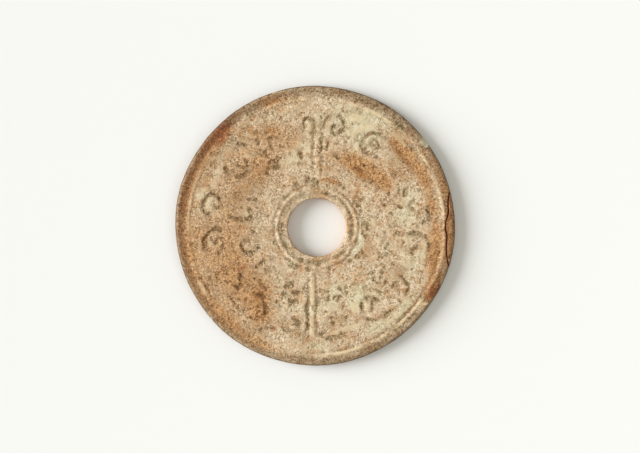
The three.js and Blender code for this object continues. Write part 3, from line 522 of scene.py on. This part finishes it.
def near_path(places, path, reach):
    """Indices of the places within reach of a path, their distances and their shares along it."""
    box_low, box_high = path.min(0) - reach, path.max(0) + reach
    inside = np.nonzero(np.all((places > box_low) & (places < box_high), axis=1))[0]
    gaps = np.linalg.norm(places[inside][:, None] - path[None], axis=2)
    nearest = gaps.argmin(1)
    distance = gaps[np.arange(len(inside)), nearest]
    kept = distance < reach
    return inside[kept], distance[kept], nearest[kept] / (len(path) - 1)


def patches(places, table):
    """The strength of a table's soft patches at each place."""
    clock = clock_of(places)
    radius = radius_of(places)
    left = np.ones(len(places))
    for patch_clock, patch_radius, reach_out, reach_round, strength in table:
        turn = (clock - patch_clock + 180) % 360 - 180
        along = np.radians(turn) * patch_radius
        left *= 1 - strength * bell(radius - patch_radius, reach_out) * bell(along, reach_round)
    return 1 - left


# ---- the carved face
def strokes():
    """Every carved stroke, as a path and how clear wear has left it."""
    made = [(curve_through(points), clearness) for clearness, points in STROKES]
    for clock, shift, left in BARS:
        along, across = at(clock, 1.0), at(clock + 90, 1.0)
        for side in (-1, 1):
            start = along * FLANK_INNER + across * (shift + side * BAR_FLANK)
            end = along * BAR_OUTER + across * (shift + side * BAR_FLANK)
            made.append((curve_through([start, end]), BAR_CLEARNESS * left))
    return made


def carve(places, flat):
    """How deeply each place on the face is carved, how much dirt has lodged there, and how much the
    place stands on a stroke's shoulder."""
    depth, dirt, shoulder = np.zeros((3, len(places)))
    left = uneven(flat, STROKE_LEFT, lowest=0.35, highest=1.25)
    width = uneven(flat, STROKE_WIDTH)
    for path, clearness in strokes():
        found, distance, share = near_path(places, path, reach=2.6)
        ends = run_out(share, left=0.3, length=0.1)
        here = left[found] * ends
        spread = distance / width[found]
        cut = fade(spread, STROKE_HALF, core=0.1) * here * (FAINTEST + (1 - FAINTEST) * clearness)
        depth[found] = np.maximum(depth[found], cut)
        lodged = fade(spread, STAIN_HALF, core=0.15) * here * clearness
        dirt[found] = np.maximum(dirt[found], lodged)
        edge = bell(distance - SHOULDER_REACH, reach=0.5) * ends
        shoulder[found] = np.maximum(shoulder[found], edge)
    dirt[radius_of(places, HOLE_CENTRE) < INNER_BORDER[-1][0]] = 0
    for reach, strength, middles in DABS:
        for middle in middles:
            distance = np.linalg.norm(places - middle, axis=1) / width
            dab = fade(distance, reach, core=0.35) * strength
            dirt = np.maximum(dirt, dab)
            depth = np.maximum(depth, DAB_DEPTH * dab)
    dirt = np.maximum(dirt, patches(places, SILT))
    return depth, dirt, shoulder * (depth < UNCARVED)


def tails(places):
    """How much each place stands on a smooth pale tail."""
    left = np.zeros(len(places))
    for strength, half, points in TAILS:
        found, distance, share = near_path(places, curve_through(points), 2 * half)
        here = strength * run_out(share, left=0.2, length=0.25) * fade(distance, half, core=0.4)
        left[found] = np.maximum(left[found], here)
    return left


def raised_bars(places):
    """How much each place stands on one of the four raised bars."""
    raised = np.zeros(len(places))
    for clock, shift, left in BARS:
        along = places @ at(clock, 1.0)
        across = places @ at(clock + 90, 1.0) - shift
        ends = rise(along, BAR_INNER, over=0.8) * fall(along, BAR_OUTER, over=0.8)
        raised = np.maximum(raised, fall(np.abs(across), BAR_HALF, over=0.5) * ends * left)
    return raised


def outer_border(places, flat):
    """The outer border's height at each place, and how much the place is on its line and its groove."""
    wear_clock, line_left, groove_left = np.array(BORDER_WEAR).T
    clock = clock_of(places - BORDER_CENTRE) % 360
    radius = radius_of(places, BORDER_CENTRE)
    line = np.interp(clock, wear_clock, line_left) * uneven(flat, BORDER_LEFT, lowest=0.1, highest=1.2)
    line = np.minimum(line, 1) * bell(radius - LINE_RADIUS, LINE_HALF)
    groove = np.interp(clock, wear_clock, groove_left) * uneven(flat, BORDER_LEFT, lowest=0.3, highest=1.1)
    groove = groove * bell(radius - GROOVE_RADIUS, GROOVE_HALF)
    ground = FIELD_LEVEL + (RIM_LEVEL - FIELD_LEVEL) * rise(radius, RIM_START, over=1.2)
    height = ground + (THICKNESS - ground) * line - GROOVE_DEPTH * groove
    return height, line, groove


def carved_face(places):
    """The carved face's height at each place, and the masks that its finish is made from."""
    flat = np.column_stack([places, np.zeros(len(places))])
    depth, dirt, shoulder = carve(places, flat)
    pale = tails(places)
    bars = raised_bars(places)
    height = FIELD_LEVEL + SHOULDER_HEIGHT * shoulder + TAIL_HEIGHT * pale
    height = np.maximum(height, FIELD_LEVEL + (THICKNESS - FIELD_LEVEL) * bars)
    height -= STROKE_DEPTH * depth
    from_hole = radius_of(places, HOLE_CENTRE)
    height = np.where(from_hole < INNER_BORDER[-1][0], through(INNER_BORDER, from_hole), height)
    border, line, groove = outer_border(places, flat)
    border_start = GROOVE_RADIUS - 2 * GROOVE_HALF
    height = np.where(radius_of(places, BORDER_CENTRE) > border_start, border, height)

    ring_left = uneven(flat, RING_LEFT, lowest=0, highest=1)
    ring_dirt = [strength * ring_left * bell(from_hole - r, half) for r, half, strength in RING_DIRT]
    ring_crest = RING_CREST * (1 - ring_left) * bell(from_hole - RING_RADIUS, RING_HALF)
    bar_crest = bars * uneven(flat, BAR_LEFT, lowest=0, highest=1)
    groove_dirt = np.maximum.reduce([dirt, GROOVE_DIRT * groove, *ring_dirt])
    # The pale crest: worn bars, ring and border line, and a painted highlight on the strokes' shoulders
    crest = np.maximum.reduce([bar_crest, SHOULDER_PAINTED_HIGHLIGHT * shoulder, ring_crest, line])
    return height, {"groove": groove_dirt, "crest": crest, "pale": pale}


# ---- damage and wear
def sink_crescent(points):
    """Sinks the loose crescent of the rim in place, and returns which points are on it."""
    crack_clock, crack_radius = np.array(CRACK).T
    clock = clock_of(points)
    radius = radius_of(points)
    edge = np.interp(clock, crack_clock, crack_radius) + uneven(points * [1, 1, 0], CRACK_WANDER)
    loose = (clock > crack_clock[0]) & (clock < crack_clock[-1]) & (radius > edge)
    loose &= points[:, 2] > UPPER
    slope = CRESCENT_FALL * np.maximum(radius - CRESCENT_FALL_START, 0)
    sunk = np.minimum(points[:, 2], CRESCENT_LEVEL + uneven(points, CRESCENT_SKIN) - slope)
    points[:, 2] = np.where(loose, sunk, points[:, 2])
    return loose


def cut_crack(points):
    """Cuts the crack in place, and returns how much each point lies in it."""
    path = curve_through([at(*corner) for corner in CRACK], spacing=0.15)
    found, distance, _ = near_path(points[:, :2], path, reach=1.2)
    half = CRACK_HALF * uneven(points[found], CRACK_WIDTH)
    crack = np.zeros(len(points))
    crack[found] = np.clip(1 + CRACK_CORE - distance / half, 0, 1) * (points[found, 2] > UPPER)
    points[:, 2] -= CRACK_DEPTH * rise(crack, start=0.6, over=0.4)
    return crack


def scoop_chips(points):
    """Scoops the chips out of the top edge in place, and returns how much each point lies in them."""
    chipped = np.zeros(len(points))
    for clock, radius, level, size in CHIPS:
        centre = np.append(at(clock, radius), level)
        offset = points - centre
        gap = np.linalg.norm(offset, axis=1)
        bite = size * uneven(points, CHIP_SKIN)
        inside = gap < bite
        pushed = centre + offset / gap[:, None] * bite[:, None]
        points[inside] = pushed[inside]
        chipped = np.maximum(chipped, fall(gap, CHIP_REACH * bite, over=0.5))
    return chipped


def cut_underside(points):
    """Cuts the underside's sunk lines in place, and returns how much each point lies in them."""
    cut = np.zeros(len(points))
    under = points[:, 2] < ON_THE_FLOOR
    for centre, radius in UNDERSIDE_LINES:
        distance = np.abs(radius_of(points, centre) - radius)
        cut = np.maximum(cut, fall(distance, UNDERSIDE_LINE_HALF, over=UNDERSIDE_LINE_HALF) * under)
    points[:, 2] += UNDERSIDE_LINE_DEPTH * cut
    return cut


def weather(points, on_face, loose):
    """Gives the face soft swells and a dry pitted skin in place, and returns how much each point lies
    in a pit."""
    grain = uneven(points, GRAIN)
    pits = np.clip(grain - PIT_START, 0, 1)
    calm = np.where(radius_of(points) > CALM_START, CALM_SHARE, 1.0)
    rough = on_face * (1 - CRESCENT_CALM * loose) * calm
    points[:, 2] += rough * (uneven(points, SWELLS) + GRAIN_HEIGHT * grain - PIT_DEPTH * pits)
    return np.clip(PIT_STAIN * pits, 0, 1) * on_face


def wave_outline(points):
    """Makes the outline slightly uneven, in place."""
    radius = radius_of(points)
    waves = sum(size * np.sin(n * np.arctan2(points[:, 0], points[:, 1]) + math.radians(start))
                for n, size, start in OUTLINE_WAVES)
    reach = rise(radius, OUTLINE_WAVE_START, over=OUTER_RADIUS - OUTLINE_WAVE_START)
    nicks = rise(radius, start=48.5, over=1) * uneven(points, NICKS)
    points[:, :2] *= (1 + (reach * waves + nicks) / radius)[:, None]


# ---- the disc's mesh
def rings():
    """The disc's meridian as (radius, height, share of the hole's centre, spacing), from the bottom
    of the hole's wall up, over the carved face, down the edge and back along the underside. Rings on
    the carved face have no height yet."""
    band = INNER_BORDER[0][1]
    wall_start = HOLE_LIP[-1][1] + WALL_GAP
    made = [(HOLE_RADIUS + out, up, 1.0, EDGE_STEP) for out, up in HOLE_LIP]
    for height in np.linspace(wall_start, band - wall_start, WALL_RINGS):
        made.append((HOLE_RADIUS, height, 1.0, EDGE_STEP))
    made += [(HOLE_RADIUS + out, band - up, 1.0, EDGE_STEP) for out, up in reversed(HOLE_LIP)]
    for radius in np.arange(FACE_START, FACE_END, FACE_RING_STEP):
        made.append((radius, None, through(RING_CENTRES, radius), FACE_STEP))
    made += [(OUTER_RADIUS - inset, height, 0.0, EDGE_STEP) for inset, height in EDGE]
    radius = OUTER_RADIUS - EDGE[-1][0] - UNDER_STEP
    while radius > UNDER_END:
        made.append((radius, 0.0, through(RING_CENTRES, radius), UNDER_STEP))
        from_line = min(abs(radius - line) for _, line in UNDERSIDE_LINES)
        radius -= UNDER_LINE_STEP if from_line < UNDER_LINE_REACH else UNDER_STEP
    return made


def ring_points():
    """The points of all rings, which of them are on the carved face, and each ring's first point and
    number of points."""
    points, on_face, spans = [], [], []
    start = 0
    for radius, height, share, spacing in rings():
        count = max(FEWEST_POINTS, round(2 * math.pi * radius / spacing))
        angle = np.linspace(0, 2 * math.pi, count, endpoint=False)
        places = HOLE_CENTRE * share + radius * np.stack([np.cos(angle), np.sin(angle)], 1)
        level = np.full(count, 0.0 if height is None else height)
        points.append(np.column_stack([places, level]))
        on_face.append(np.full(count, height is None))
        spans.append((start, count))
        start += count
    return np.vstack(points), np.concatenate(on_face), spans


def stitch(start_a, count_a, start_b, count_b):
    """Triangles that join two rings of points, the second outside or after the first."""
    faces = []
    i = j = 0
    while i < count_a or j < count_b:
        a, b = start_a + i % count_a, start_b + j % count_b
        if j >= count_b or (i < count_a and (i + 1) * count_b <= (j + 1) * count_a):
            i += 1
            faces.append((a, b, start_a + i % count_a))
        else:
            j += 1
            faces.append((a, b, start_b + j % count_b))
    return faces


def rim_masks(points, side_radius, on_face):
    """How much each point is on the rim, the edge, the hole's wall and the pale vein."""
    upper = points[:, 2] > LOWER_EDGE
    radius = radius_of(points, BORDER_CENTRE)
    rim = sum(weight * rise(radius, RIM_START, over) for weight, over in RIM_STAIN)
    in_hole = fall(radius_of(points, HOLE_CENTRE), HOLE_RADIUS + HOLE_EASE, over=0.4)
    vein = np.zeros(len(points))
    path = curve_through([at(*corner) for corner in VEIN])
    found, distance, _ = near_path(points[:, :2], path, reach=1.0)
    vein[found] = fade(distance, VEIN_HALF, core=0.4) * on_face[found]
    return {
        "rim": rim * upper,
        # The outer side and the steep end of the edge, which get a painted shade
        "side": rise(side_radius, start=49.35, over=0.4) * upper,
        # The hole's wall, which gets a painted shade
        "wall": in_hole * fall(points[:, 2], end=4.4, over=0.5),
        "vein": vein,
    }


def disc_mesh():
    """The disc as one closed fine mesh, with the masks for its finish as point attributes."""
    points, on_face, spans = ring_points()
    masks = {name: np.zeros(len(points)) for name in ("groove", "crest", "pale")}
    height, face_masks = carved_face(points[on_face, :2])
    points[on_face, 2] = height
    for name, values in face_masks.items():
        masks[name][on_face] = values
    masks["groove"] = np.maximum(masks["groove"], cut_underside(points))

    loose = sink_crescent(points)
    masks["crack"] = cut_crack(points)
    masks["chip"] = scoop_chips(points)
    masks["pit"] = weather(points, on_face, loose)
    side_radius = radius_of(points)
    wave_outline(points)
    for name, table in (("chalk", CHALK), ("russet", RUSSET), ("umber", UMBER), ("rust", RUST)):
        masks[name] = patches(points, table)
    masks.update(rim_masks(points, side_radius, on_face))

    faces = []
    for (start_a, count_a), (start_b, count_b) in zip(spans, spans[1:] + spans[:1]):
        faces += stitch(start_a, count_a, start_b, count_b)
    mesh = bpy.data.meshes.new("bi_disc_jade")
    mesh.from_pydata((points * MM).tolist(), [], faces)
    mesh.polygons.foreach_set("use_smooth", [True] * len(mesh.polygons))
    for name, values in masks.items():
        attribute = mesh.attributes.new(name, "FLOAT", "POINT")
        attribute.data.foreach_set("value", values.astype(np.float32))
    mesh.update()
    return mesh


# ---- finishes
def tone(red, green, blue):
    """A linear colour from the 0 to 255 values that a screen shows."""
    shown = np.array([red, green, blue]) / 255
    linear = np.where(shown <= 0.04045, shown / 12.92, ((shown + 0.055) / 1.055) ** 2.4)
    return (*linear.tolist(), 1.0)


# Each ground as its dark specks, its body and its light specks
CREAM_GROUND = (tone(140, 111, 74), tone(204, 179, 146), tone(242, 222, 191))
ORANGE_GROUND = (tone(126, 82, 42), tone(181, 131, 80), tone(224, 180, 128))
GREY_GROUND = (tone(104, 83, 52), tone(160, 139, 101), tone(210, 190, 152))
BROWN_GROUND = (tone(88, 58, 28), tone(142, 101, 56), tone(194, 150, 102))
CHALK_GROUND = (tone(148, 129, 90), tone(211, 197, 160), tone(238, 227, 197))
RUST_GROUND = (tone(92, 42, 18), tone(148, 82, 42), tone(190, 124, 72))
BODY_PLACE = 0.5  # where a ground's body colour sits between its dark and its light specks
# The pale of the worn lines, also used as the painted highlight on the strokes' shoulders
LINE_CREAM = tone(226, 201, 160)
TAIL_CREAM = tone(222, 201, 160)
VEIN_CREAM = tone(232, 206, 164)
CHIP_GREEN = tone(214, 210, 180)
CRACK_RED = tone(84, 38, 22)
CRACK_GLOW = tone(176, 104, 66)
PAPER = (0.91, 0.915, 0.895, 1.0)
# Darkenings, as the share of each colour that is left
RIM_SHADE = (0.62, 0.58, 0.52, 1.0)
UMBER_SHADE = (0.66, 0.55, 0.4, 1.0)
# Painted shade on the outer side and the steep end of the edge
EDGE_PAINTED_SHADE = (0.36, 0.31, 0.25, 1.0)
# Painted shade on the hole's wall, warmer than the stone
WALL_PAINTED_SHADE = (0.7, 0.5, 0.26, 1.0)

# Noises, as (width, seed, detail, roughness, distortion), and the ramps over them, as (low, high) and
# what the ramp gives there if that isn't 0 and 1
BLOTCHES, BLOTCH_DRIFT = (7.0, 1, 3.0, 0.6, 0.0), (0.48, 0.64, 0.0, 0.38)
STAINS, STAIN_DRIFT = (3.4, 6, 3.0, 0.65, 0.6), (0.47, 0.62, 0.0, 0.5)
CLOUDS, CLOUD_ROUGHNESS = (2.4, 2, 3.0, 0.65, 0.0), (0.3, 0.7, 0.42, 0.56)
CLUMPS, CLUMP_CONTRAST = (3.6, 4, 2.0, 0.6, 0.8), (0.36, 0.62, 0.35, 1.38)
FINE = (0.68, 3, 2.5, 0.8, 0.9)
DOTS, DOT_LEVELS = (0.85, 8, 1.0, 0.5, 0.4), (0.58, 0.7)
OLIVE, OLIVE_LEVELS = (2.1, 9, 2.0, 0.6, 0.5), (0.54, 0.68)
THREADS, THREAD_LEVELS = (1.5, 5, 2.0, 0.5, 1.8), (0.0, 0.035, 1.0, 0.0)

# The mesh's point attributes
MASKS = ("groove", "crest", "pale", "rim", "side", "wall", "chalk", "russet", "umber", "rust", "crack",
         "chip", "vein", "pit")
# What each mask adds to the specks' contrast, and what makes the stone lighter or darker
CONTRAST = {"groove": 0.45, "russet": 0.3, "rim": 0.9, "chalk": -0.2, "crest": -0.2, "pale": -0.6}
RUSSET_RIM_CONTRAST = -0.9
LIGHTNESS = {"ragged": 0.35, "groove": -0.07, "thread": 0.11, "pit": -0.1}
DOT_LIGHTNESS = -0.05
SPECK_LEVELS = (-0.2, 0.2)

# The levels between which each mask sets in, once the clouds have frayed its edge
SETS_IN = {
    "russet": (0.05, 0.85), "chalk": (0.05, 0.9), "groove": (0.05, 0.8), "pale": (0.1, 0.9),
    "umber": (0.1, 0.95), "rust": (0.15, 0.95), "rim": (0.0, 0.9), "crest": (0.12, 0.9),
}
FRAY = 0.9
FRAY_LEVELS = (0.02, 0.2)
CREST_LEFT = 0.8  # share of the crest mask that is left before its edge is frayed
# How fully each colour covers what lies under it
COVER = {"olive": 0.35, "pale": 0.6, "dirt": 0.9, "rust": 0.9, "side": 0.8, "chip": 0.85, "vein": 0.8}
GLOW_LEVELS, CRACK_LEVELS = (0.0, 0.6, 0.0, 0.6), (0.55, 0.85, 0.0, 0.95)

# Roughness, bump and shine
GROOVE_DULLNESS = 0.15
SPECK_DULLNESS = (0.0, 1.0, 0.14, 0.0)
BUMP_STRENGTH, BUMP_HEIGHT = 0.5, 0.1
SHINE = 0.35
PAPER_ROUGHNESS = 0.9

# The colour sockets of a mix node, which share their names with its other sockets
FIRST_COLOUR, SECOND_COLOUR, MIXED_COLOUR = 6, 7, 2


class Graph:
    """Lays the nodes of one material. Sockets go from call to call, and sizes are in millimetres."""

    def __init__(self, name):
        self.material = bpy.data.materials.new(name)
        self.material.use_nodes = True
        self.tree = self.material.node_tree
        self.shader = self.tree.nodes["Principled BSDF"]
        self.place = self.tree.nodes.new("ShaderNodeTexCoord").outputs["Object"]

    def put(self, socket, value):
        """Links a socket, or sets a constant."""
        if isinstance(value, bpy.types.NodeSocket):
            self.tree.links.new(value, socket)
        else:
            socket.default_value = value

    def node(self, kind, output, values, **settings):
        """One output of a new node with the given input values and settings."""
        node = self.tree.nodes.new(kind)
        for name, setting in settings.items():
            setattr(node, name, setting)
        for name, value in values.items():
            self.put(node.inputs[name], value)
        return node.outputs[output]

    def mask(self, name):
        """A point attribute of the mesh."""
        return self.node("ShaderNodeAttribute", "Fac", {}, attribute_name=name)

    def noise(self, width, seed, detail, roughness, distortion):
        """Noise whose blotches are about a width wide."""
        values = {"Vector": self.place, "W": float(seed), "Scale": 1 / (width * MM), "Detail": detail,
                  "Roughness": roughness, "Distortion": distortion}
        return self.node("ShaderNodeTexNoise", "Fac", values, noise_dimensions="4D")

    def math(self, operation, *values):
        """A math operation on values."""
        return self.node("ShaderNodeMath", "Value", dict(enumerate(values)), operation=operation)

    def times(self, a, b):
        """Two values multiplied."""
        return self.math("MULTIPLY", a, b)

    def plus(self, value, *terms):
        """A value with (mask, weight) terms added to it."""
        for mask, weight in terms:
            value = self.math("MULTIPLY_ADD", mask, weight, value)
        return value

    def centred(self, noise):
        """A noise moved so that its middle is 0."""
        return self.math("SUBTRACT", noise, 0.5)

    def between(self, value, low, high, to_low=0.0, to_high=1.0):
        """A smooth ramp between two values."""
        values = dict(enumerate((value, low, high, to_low, to_high)))
        return self.node("ShaderNodeMapRange", "Result", values, interpolation_type="SMOOTHSTEP")

    def frayed(self, mask, ragged, low, high):
        """A mask with its edge broken up by a ragged noise."""
        rough = self.plus(mask, (ragged, FRAY))
        return self.times(self.between(rough, low, high), self.between(mask, *FRAY_LEVELS))

    def ramp(self, value, ground):
        """A ground's colours from its dark specks at 0 to its light specks at 1."""
        node = self.tree.nodes.new("ShaderNodeValToRGB")
        node.color_ramp.elements.new(BODY_PLACE)
        for element, colour in zip(node.color_ramp.elements, ground):
            element.color = colour
        self.put(node.inputs["Fac"], value)
        return node.outputs["Color"]

    def mix(self, share, a, b, blend="MIX"):
        """Colour a where the share is 0 and colour b, or a blended with b, where it is 1."""
        values = {"Factor": share, FIRST_COLOUR: a, SECOND_COLOUR: b}
        return self.node("ShaderNodeMix", MIXED_COLOUR, values, data_type="RGBA", blend_type=blend)


def speckle(graph, on, ragged):
    """The specks, from dark at 0 to light at 1. They are strong in clumps and in the carving, and
    faint where the stone is chalky or proud."""
    contrast = graph.between(graph.noise(*CLUMPS), *CLUMP_CONTRAST)
    contrast = graph.plus(contrast, *((on[name], weight) for name, weight in CONTRAST.items()))
    contrast = graph.plus(contrast, (graph.times(on["rim"], on["russet"]), RUSSET_RIM_CONTRAST))
    ridge = graph.math("ABSOLUTE", graph.centred(graph.noise(*THREADS)))
    dots = graph.between(graph.noise(*DOTS), *DOT_LEVELS)
    lean = {**on, "ragged": ragged, "thread": graph.between(ridge, *THREAD_LEVELS)}
    specks = graph.times(graph.centred(graph.noise(*FINE)), contrast)
    specks = graph.plus(specks, *((lean[name], weight) for name, weight in LIGHTNESS.items()))
    specks = graph.plus(specks, (graph.times(dots, contrast), DOT_LIGHTNESS))
    return graph.between(specks, *SPECK_LEVELS)


def stone_colour(graph, frayed, specks):
    """The colour of the stone with its stains and its dirt, one ground laid over the other."""
    drift = graph.between(graph.noise(*BLOTCHES), *BLOTCH_DRIFT)
    drift = graph.math("ADD", drift, graph.between(graph.noise(*STAINS), *STAIN_DRIFT))
    orange = graph.math("MAXIMUM", frayed["russet"], drift)
    colour = graph.mix(orange, graph.ramp(specks, CREAM_GROUND), graph.ramp(specks, ORANGE_GROUND))
    colour = graph.mix(frayed["chalk"], colour, graph.ramp(specks, CHALK_GROUND))
    colour = graph.mix(graph.times(frayed["pale"], COVER["pale"]), colour, TAIL_CREAM)
    olive = graph.between(graph.noise(*OLIVE), *OLIVE_LEVELS)
    dirty = graph.math("MAXIMUM", frayed["groove"], graph.times(olive, COVER["olive"]))
    dirt = graph.mix(orange, graph.ramp(specks, GREY_GROUND), graph.ramp(specks, BROWN_GROUND))
    colour = graph.mix(graph.times(dirty, COVER["dirt"]), colour, dirt)
    colour = graph.mix(frayed["umber"], colour, UMBER_SHADE, "MULTIPLY")
    return graph.mix(graph.times(frayed["rust"], COVER["rust"]), colour, graph.ramp(specks, RUST_GROUND))


def worn_colour_with_painted_light(graph, on, frayed, colour):
    """A colour with the dark rim, painted shade on the edge and on the hole's wall, the lines that are
    worn pale, a painted highlight on the strokes' shoulders, and the damage.
    """
    colour = graph.mix(frayed["rim"], colour, RIM_SHADE, "MULTIPLY")
    # Painted shade on the disc's outer edge
    colour = graph.mix(graph.times(on["side"], COVER["side"]), colour, EDGE_PAINTED_SHADE, "MULTIPLY")
    # Painted shade on the hole's wall
    colour = graph.mix(on["wall"], colour, WALL_PAINTED_SHADE, "MULTIPLY")
    # Worn pale lines, and the painted highlight on the strokes' shoulders
    colour = graph.mix(frayed["crest"], colour, LINE_CREAM)
    colour = graph.mix(graph.times(on["chip"], COVER["chip"]), colour, CHIP_GREEN)
    colour = graph.mix(graph.times(on["vein"], COVER["vein"]), colour, VEIN_CREAM)
    colour = graph.mix(graph.between(on["crack"], *GLOW_LEVELS), colour, CRACK_GLOW)
    return graph.mix(graph.between(on["crack"], *CRACK_LEVELS), colour, CRACK_RED)


def jade():
    """Weathered nephrite: cream to tan, speckled all over, with rust stains and dirt in the carving."""
    graph = Graph("weathered_jade")
    on = {name: graph.mask(name) for name in MASKS}
    cloud = graph.noise(*CLOUDS)
    ragged = graph.centred(cloud)
    specks = speckle(graph, on, ragged)
    edged = {**on, "crest": graph.times(on["crest"], CREST_LEFT)}
    frayed = {name: graph.frayed(edged[name], ragged, *levels) for name, levels in SETS_IN.items()}
    colour = worn_colour_with_painted_light(graph, on, frayed, stone_colour(graph, frayed, specks))
    graph.put(graph.shader.inputs["Base Color"], colour)

    # Duller in the carving and in the dark specks
    dull = graph.plus(graph.between(specks, *SPECK_DULLNESS), (on["groove"], GROOVE_DULLNESS))
    roughness = graph.math("ADD", dull, graph.between(cloud, *CLOUD_ROUGHNESS))
    graph.put(graph.shader.inputs["Roughness"], roughness)
    bumps = {"Height": specks, "Strength": BUMP_STRENGTH, "Distance": BUMP_HEIGHT * MM}
    graph.put(graph.shader.inputs["Normal"], graph.node("ShaderNodeBump", "Normal", bumps))
    graph.put(graph.shader.inputs["Specular IOR Level"], SHINE)
    return graph.material


def floor_finish():
    """Plain pale paper."""
    graph = Graph("pale_floor")
    graph.put(graph.shader.inputs["Base Color"], PAPER)
    graph.put(graph.shader.inputs["Roughness"], PAPER_ROUGHNESS)
    return graph.material


# ---- the piece
def make_disc():
    """The dressed disc, which stands for the solid's one node."""
    mesh = disc_mesh()
    disc = bpy.data.objects.new("jade_disc", mesh)
    bpy.context.scene.collection.objects.link(disc)
    mesh.materials.append(jade())
    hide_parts(DISC_NODE)
    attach(disc, "root")


# ---- studio, in metres and degrees
CAMERA_AIM = (1.75 * MM, -0.29 * MM)
CAMERA_LENS = 95.0
CAMERA_RISE = 0.6025
CAMERA_CLIP = (0.01, 20.0)
FLOOR_SIZE = 6.0
FLOOR_GAP = 0.02 * MM
KEY_STRENGTH = 3.9
KEY_COLOUR = (0.98, 1.0, 1.04)
KEY_SPREAD = 42.0
KEY_RISE = 25.0
KEY_TURN = 0.12
FILL_PLACE = (0.45, -0.25, 0.75)
FILL_SIZE = 0.6
FILL_POWER = 0.9
WORLD_STRENGTH = 0.46
WORLD_COLOUR = (1.0, 0.97, 0.86, 1.0)


def make_camera():
    """Looks straight down on the lying disc."""
    data = bpy.data.cameras.new("camera")
    data.lens = CAMERA_LENS
    data.clip_start, data.clip_end = CAMERA_CLIP
    camera = bpy.data.objects.new("camera", data)
    camera.location = (*CAMERA_AIM, high.z + CAMERA_RISE)
    bpy.context.scene.collection.objects.link(camera)
    bpy.context.scene.camera = camera


def make_floor():
    """A pale sheet just under the disc."""
    half = FLOOR_SIZE / 2
    corners = [(-half, -half), (half, -half), (half, half), (-half, half)]
    mesh = bpy.data.meshes.new("floor")
    mesh.from_pydata([(x, y, -FLOOR_GAP) for x, y in corners], [], [(0, 1, 2, 3)])
    mesh.materials.append(floor_finish())
    floor = bpy.data.objects.new("floor", mesh)
    bpy.context.scene.collection.objects.link(floor)


def add_light(name, kind, side, power):
    """A light that shines on the disc from a side, given as a direction or as a place."""
    data = bpy.data.lights.new(name, kind)
    data.energy = power
    light = bpy.data.objects.new(name, data)
    light.rotation_mode = "QUATERNION"
    light.rotation_quaternion = Vector(side).to_track_quat("Z", "Y")
    bpy.context.scene.collection.objects.link(light)
    return light


def make_lights():
    """A broad soft key from the left, a fill overhead and a little light from all round."""
    lift = math.radians(KEY_RISE)
    key = add_light("key", "SUN", (-math.cos(lift), KEY_TURN, math.sin(lift)), KEY_STRENGTH)
    key.data.color = KEY_COLOUR
    key.data.angle = math.radians(KEY_SPREAD)
    fill = add_light("fill", "AREA", FILL_PLACE, FILL_POWER)
    fill.data.size = FILL_SIZE
    fill.location = FILL_PLACE
    world = bpy.data.worlds.new("studio")
    world.use_nodes = True
    background = world.node_tree.nodes["Background"]
    background.inputs["Color"].default_value = WORLD_COLOUR
    background.inputs["Strength"].default_value = WORLD_STRENGTH
    bpy.context.scene.world = world


make_camera()
make_disc()
make_floor()
make_lights()
bpy.context.scene.view_settings.view_transform = "Standard"
